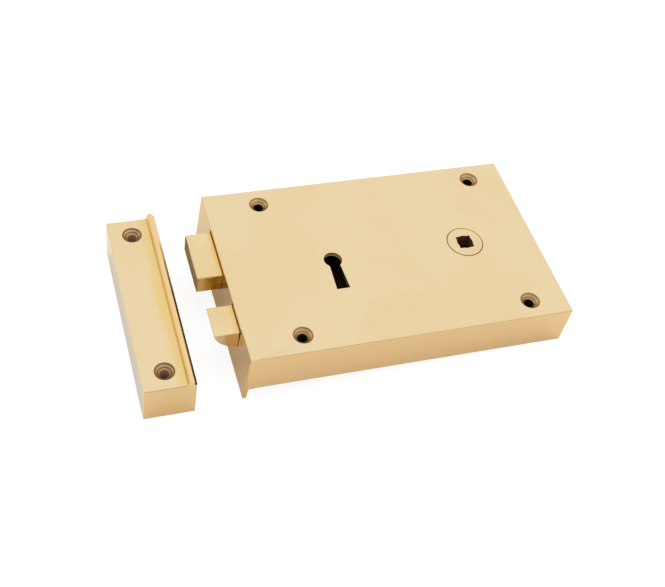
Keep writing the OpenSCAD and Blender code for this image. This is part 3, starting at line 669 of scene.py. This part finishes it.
# The keep's bores are painted pale, painted light of the table seen down the holes, and its rings
# in a deeper painted shade.
KEEP_HOLES = {"Centre": mm(-34.8, 46.95, 0), "Half": mm(0, 39, 0), "Deep": (0.34, 0.20, 0.07, 1),
              "Bore": (0.50, 0.35, 0.26, 1)}
KEEP_SIDES = region(z=(None, KEEP_FACE - 0.05), soft=0.03)
OUTER_SIDE = region(x=(None, keep_low.x + 0.15), z=(None, KEEP_FACE - 0.1))
ALONG_FOOT = region(x=(FOOT - 3.4, FOOT + 0.2), z=(KEEP_FACE - 0.3, KEEP_FACE + 0.8),
                    soft=(2.4, 1, 0.1))
BEFORE_FOOT = region(x=(FOOT - 5, FOOT - 2), y=(38, 56), z=(KEEP_FACE - 0.3, KEEP_FACE + 0.8),
                     soft=(2.4, 16, 0.1))
FOOT_LINE = region(x=(FOOT - 0.9, FOOT + 0.3), z=(KEEP_FACE + 0.05, KEEP_FACE + 1.2), soft=0.15)
LIP_TOP = region(x=(FOOT + 0.2, keep_high.x - 1), z=(KEEP_FACE + 0.6, None), soft=0.2)
LIP_SIDE = region(x=(keep_high.x - 1.05, None), y=(None, 62), z=(KEEP_FACE, None),
                  soft=(0.12, 18, 0.12))
BACK_EDGE = region(y=(None, keep_low.y + 0.3), z=(None, keep_low.z + 0.6), soft=0.3)
INNER_EDGE = region(x=(keep_high.x - 0.5, None), y=(None, keep_low.y + 0.3), z=(None, KEEP_FACE),
                    soft=0.25)
KEEP_TINTS_AND_LIGHT = [
    # Sides: painted warm reflection.
    dict(KEEP_SIDES, Tint=SIDE_REFLECTION_BRASS, Amount=1.0),
    dict(OUTER_SIDE, Tint=(0.87, 0.74, 0.54, 1), Amount=0.9),
    # Flat before the lip: painted reflection of the lip, in gold.
    dict(ALONG_FOOT, Tint=(0.86, 0.60, 0.20, 1), Amount=0.75),
    dict(BEFORE_FOOT, Tint=(0.88, 0.60, 0.12, 1), Amount=0.7),
    # Foot of the lip: painted shade in the crease.
    dict(FOOT_LINE, Tint=(0.82, 0.56, 0.18, 1), Amount=0.8),
    dict(LIP_TOP, Tint=(0.93, 0.66, 0.30, 1), Amount=0.9),
    # Lip's inner side: painted shade, made matt.
    dict(LIP_SIDE, Tint=(0.06, 0.03, 0.005, 1), Amount=1.0),
    # Keep's back and inner bottom edges: painted contact shadow.
    dict(BACK_EDGE, Tint=CONTACT_SHADOW_GREY, Amount=1.0),
    dict(INNER_EDGE, Tint=CONTACT_SHADOW_GREY, Amount=0.8),
]
keep_brass = cast_metal("keep_brass", KEEP_INSIDE, KEEP_HOLES, KEEP_TINTS_AND_LIGHT, (LIP_SIDE,),
                        Base=BRASS, Deep=DEEP_BRASS, Clouds=0.3, Roughness=0.15)
dress("keep", keep_brass, 0.1 * MM, "root")

# Floor
# Plain pale table, open from below, with a painted shadow where lock and keep cover it; to glossy
# rays that patch shows a painted glow, brighter than the rest of the table.
# It touches the keep's inner edge and the case's rear edge, so it is tilted in the lock's frame.
FLOOR_REACH = 2.5
FLOOR_CENTRE = Vector((0.053, 0.048))
UNDER_CASE = region(x=(8, 144), y=(8.5, 89), soft=2)
UNDER_KEEP = region(x=(-42, -26), y=(3, 91), soft=2)
WHITE = (1, 1, 1, 1)
PALE = (0.82, 0.81, 0.79, 1)
PALE_SEEN = (0.28, 0.28, 0.28, 1)
SHADE = (0.3, 0.29, 0.27, 1)
GLOW_SEEN = 0.84
GLOW_MIRRORED = 0.13
PAINTED_GLOW_UNDER_LOCK = 0.6
slope = -keep_low.z / (CASE_L - keep_high.x)
corners = []
for a, b in ((-1, -1), (1, -1), (1, 1), (-1, 1)):
    x, y = FLOOR_CENTRE.x + a * FLOOR_REACH, FLOOR_CENTRE.y + b * FLOOR_REACH
    corners.append((x, y, slope * (x - CASE_L * MM)))
floor_mesh = bpy.data.meshes.new("floor")
floor_mesh.from_pydata(corners, [], [(0, 1, 2, 3)])
floor = bpy.data.objects.new("floor", floor_mesh)
bpy.context.scene.collection.objects.link(floor)
floor_material = bpy.data.materials.new("pale_table")
floor_material.use_nodes = True
tree = floor_material.node_tree
shader = tree.nodes["Principled BSDF"]
shader.inputs["Roughness"].default_value = 0.9
shader.inputs["Specular IOR Level"].default_value = 0.0
shader.inputs["Emission Color"].default_value = WHITE
ray = tree.nodes.new("ShaderNodeLightPath").outputs
under_case = put(tree, boxed, **UNDER_CASE)["Mask"]
under_keep = put(tree, boxed, **UNDER_KEEP)["Mask"]
covered = math_node(tree, "MAXIMUM", under_case, under_keep)
pale = mix(tree, ray["Is Camera Ray"], PALE, PALE_SEEN)
link(tree, mix(tree, covered, pale, SHADE), shader.inputs["Base Color"])
seen = math_node(tree, "MULTIPLY", ray["Is Camera Ray"], GLOW_SEEN)
bare = math_node(tree, "MULTIPLY", seen, math_node(tree, "SUBTRACT", 1.0, covered))
level = spread(tree, covered, 0, 1, GLOW_MIRRORED, PAINTED_GLOW_UNDER_LOCK)
mirrored = math_node(tree, "MULTIPLY", ray["Is Glossy Ray"], level)
link(tree, math_node(tree, "ADD", bare, mirrored), shader.inputs["Emission Strength"])
see_through = tree.nodes.new("ShaderNodeBsdfTransparent")
either = tree.nodes.new("ShaderNodeMixShader")
link(tree, tree.nodes.new("ShaderNodeNewGeometry").outputs["Backfacing"], either.inputs[0])
link(tree, shader.outputs[0], either.inputs[1])
link(tree, see_through.outputs[0], either.inputs[2])
link(tree, either.outputs[0], tree.nodes["Material Output"].inputs["Surface"])
floor_mesh.materials.append(floor_material)

# Light
# One wide bright ceiling above and behind the lock, a pale window far to the left, and a dimmer
# room around. What the camera sees of it is white.
CEILING_AXIS = (0.42, 0.25, 0.87)
WINDOW_AXIS = (-0.77, 0.59, 0.25)
ROOM_LIGHT = 0.56
CEILING_LIGHT = 0.965
WINDOW_LIGHT = 0.9
LAMP_AT = Vector((0.2, 0.3, 1.8))
LAMP_AIM = Vector((0.055, 0.048, 0.01))
world = bpy.data.worlds.new("studio")
bpy.context.scene.world = world
world.use_nodes = True
tree = world.node_tree
sky = tree.nodes["Background"]
sky.inputs["Color"].default_value = WHITE
ray = tree.nodes.new("ShaderNodeLightPath").outputs
direction = tree.nodes.new("ShaderNodeTexCoord").outputs["Generated"]
to_ceiling = vector_node(tree, "DOT_PRODUCT", direction, CEILING_AXIS)
to_window = vector_node(tree, "DOT_PRODUCT", direction, WINDOW_AXIS)
ceiling = spread(tree, to_ceiling, 0.2, 0.75, ROOM_LIGHT, CEILING_LIGHT)
window = spread(tree, to_window, 0.72, 0.92, 0.0, WINDOW_LIGHT)
room = math_node(tree, "MAXIMUM", ceiling, window)
unseen = math_node(tree, "SUBTRACT", 1.0, ray["Is Camera Ray"])
glow = math_node(tree, "ADD", math_node(tree, "MULTIPLY", room, unseen), ray["Is Camera Ray"])
link(tree, glow, sky.inputs["Strength"])
lamp_data = bpy.data.lights.new("ceiling", "AREA")
lamp_data.shape = "DISK"
lamp_data.size = 1.6
lamp_data.energy = 6.0
lamp = bpy.data.objects.new("ceiling", lamp_data)
bpy.context.scene.collection.objects.link(lamp)
lamp.visible_glossy = False
lamp.location = LAMP_AT
lamp.rotation_euler = (LAMP_AIM - LAMP_AT).to_track_quat("-Z", "Y").to_euler()

# Camera
# Stands in front of the lower edge, to the left, and looks down on the front.
# A small shift of the lens puts the object where the photograph has it.
camera_data = bpy.data.cameras.new("camera")
camera_data.sensor_fit = "HORIZONTAL"
camera_data.sensor_width = 36
camera_data.lens = 58.22
camera_data.shift_x = 0.0639
camera_data.shift_y = -0.0173
camera_data.clip_start = 0.01
camera = bpy.data.objects.new("camera", camera_data)
bpy.context.scene.collection.objects.link(camera)
bpy.context.scene.camera = camera
look = Vector((0.25392, 0.59122, -0.76549)).normalized()
right = Vector((0.95796, -0.26303, 0.11461))
right = (right - look * right.dot(look)).normalized()
turn = Matrix((right, right.cross(look), -look)).transposed()
camera.matrix_world = Matrix.Translation(mm(-94.31, -245.73, 389.92)) @ turn.to_4x4()

bpy.context.scene.view_settings.view_transform = "Standard"
